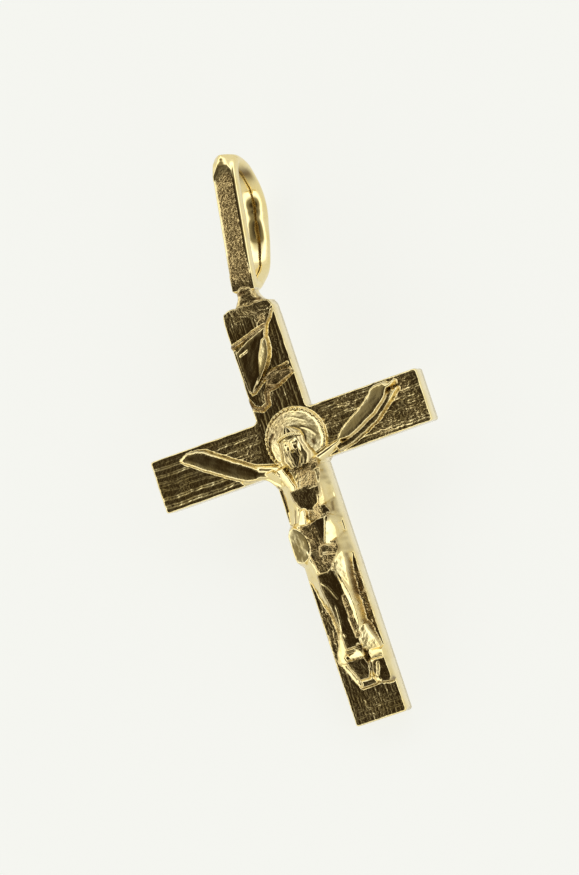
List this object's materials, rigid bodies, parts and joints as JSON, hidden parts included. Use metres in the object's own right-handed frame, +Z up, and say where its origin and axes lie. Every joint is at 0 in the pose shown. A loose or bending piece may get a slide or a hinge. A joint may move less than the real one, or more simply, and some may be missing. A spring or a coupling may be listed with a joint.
{
  "type": "crucifix pendant",
  "caption": "Small cast gold crucifix pendant: flat cross with a relief figure, a beaded halo and a bare scroll, under a fixed teardrop bail.",
  "frame": {"origin": "centre of the bounding box, on the surface that the pendant lies on", "axes": "+Z up, out of the front of the cross; +Y up the upright, towards the bail; +X along the crossbar, towards the viewer's right"},
  "size_m": [0.0126, 0.025, 0.0039],
  "materials": {
    "gold": "14 karat yellow gold: grained cast ground, polished edges and flat polished facets"
  },
  "bodies": {
    "root": {"crucifix": "gold"}
  },
  "joints": []
}
